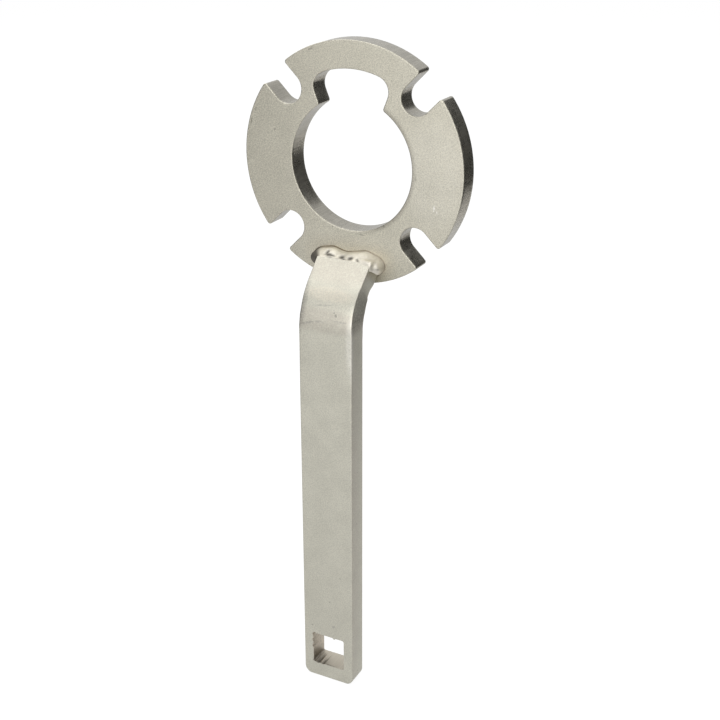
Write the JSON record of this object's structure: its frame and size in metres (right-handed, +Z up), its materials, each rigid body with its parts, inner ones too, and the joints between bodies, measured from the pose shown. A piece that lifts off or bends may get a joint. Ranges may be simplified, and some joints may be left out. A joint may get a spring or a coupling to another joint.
{
  "type": "harmonic balancer holding tool",
  "caption": "Slotted steel ring plate welded to an offset flat-bar handle with a square drive hole, for holding an engine's crankshaft balancer still.",
  "frame": {"origin": "under the middle of the tool's width and depth, level with the handle's free end", "axes": "+Z up along the handle towards the ring, -Y out of the ring's front face, +X to the right seen from the front"},
  "size_m": [0.08, 0.0264, 0.23],
  "materials": {
    "ring_steel": "bead-blasted, dull plated",
    "bar_steel": "bead-blasted, dull plated",
    "front_weld_steel": "plated weld bead",
    "rear_weld_steel": "plated weld bead"
  },
  "bodies": {
    "root": {"holding_ring": "ring_steel", "handle_bar": "bar_steel", "front_weld": "front_weld_steel", "rear_weld": "rear_weld_steel"}
  },
  "joints": []
}
